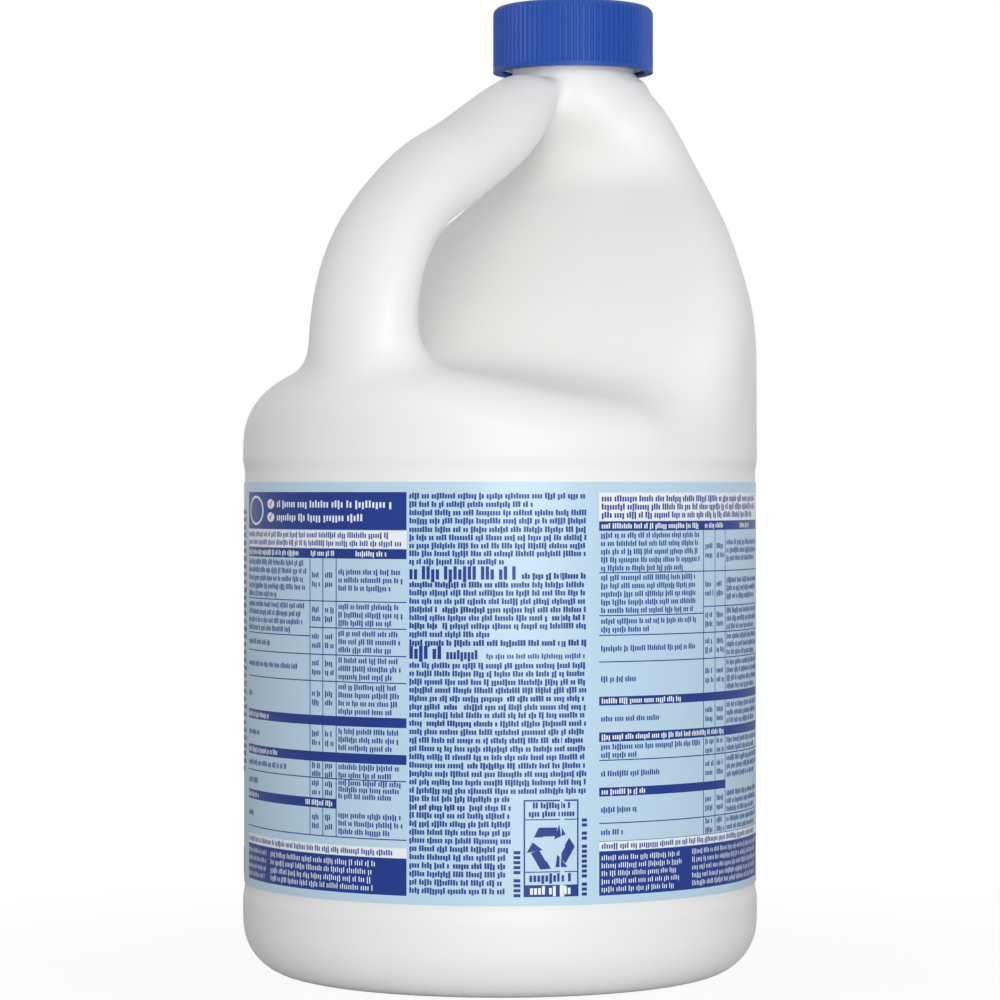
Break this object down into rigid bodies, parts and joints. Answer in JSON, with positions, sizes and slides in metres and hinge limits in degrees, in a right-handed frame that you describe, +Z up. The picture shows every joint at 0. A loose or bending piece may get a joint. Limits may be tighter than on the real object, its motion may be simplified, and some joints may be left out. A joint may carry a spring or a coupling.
{
  "type": "bleach bottle",
  "caption": "Round blow-moulded bottle with a hollow side handle, a wrap label and a ribbed push-and-turn screw cap.",
  "frame": {"origin": "centre of the round body, on the plane it stands on", "axes": "+Z up along the body's axis, +X away from the handle towards the shoulder under the cap, +Y to the bottle's left"},
  "size_m": [0.1606, 0.1606, 0.305],
  "materials": {
    "bottle": "satin",
    "label": "satin",
    "outer_cap": "satin",
    "inner_cap": "satin",
    "liner": "matte"
  },
  "bodies": {
    "bottle": {"bottle": "bottle", "label": "label"},
    "liner": {"liner": "liner"},
    "inner_cap": {"inner_cap": "inner_cap"},
    "outer_cap": {"outer_cap": "outer_cap"}
  },
  "joints": [
    {"name": "cap_lift", "type": "slide", "parent": "bottle", "child": "liner", "axis": [0, 0, 1], "range_m": [0, 0.00528]},
    {"name": "cap_turn", "type": "hinge", "parent": "liner", "child": "inner_cap", "pos_m": [0.0364, 0, 0.2978], "axis": [0, 0, 1], "range_deg": [0, 450]},
    {"name": "push_down", "type": "slide", "parent": "inner_cap", "child": "outer_cap", "axis": [0, 0, -1], "range_m": [0, 0.0015], "stiffness_N_per_m": 3000}
  ],
  "couplings": [
    {"joint": "cap_turn", "follows": "cap_lift", "rad_per_m": 1485.4}
  ]
}
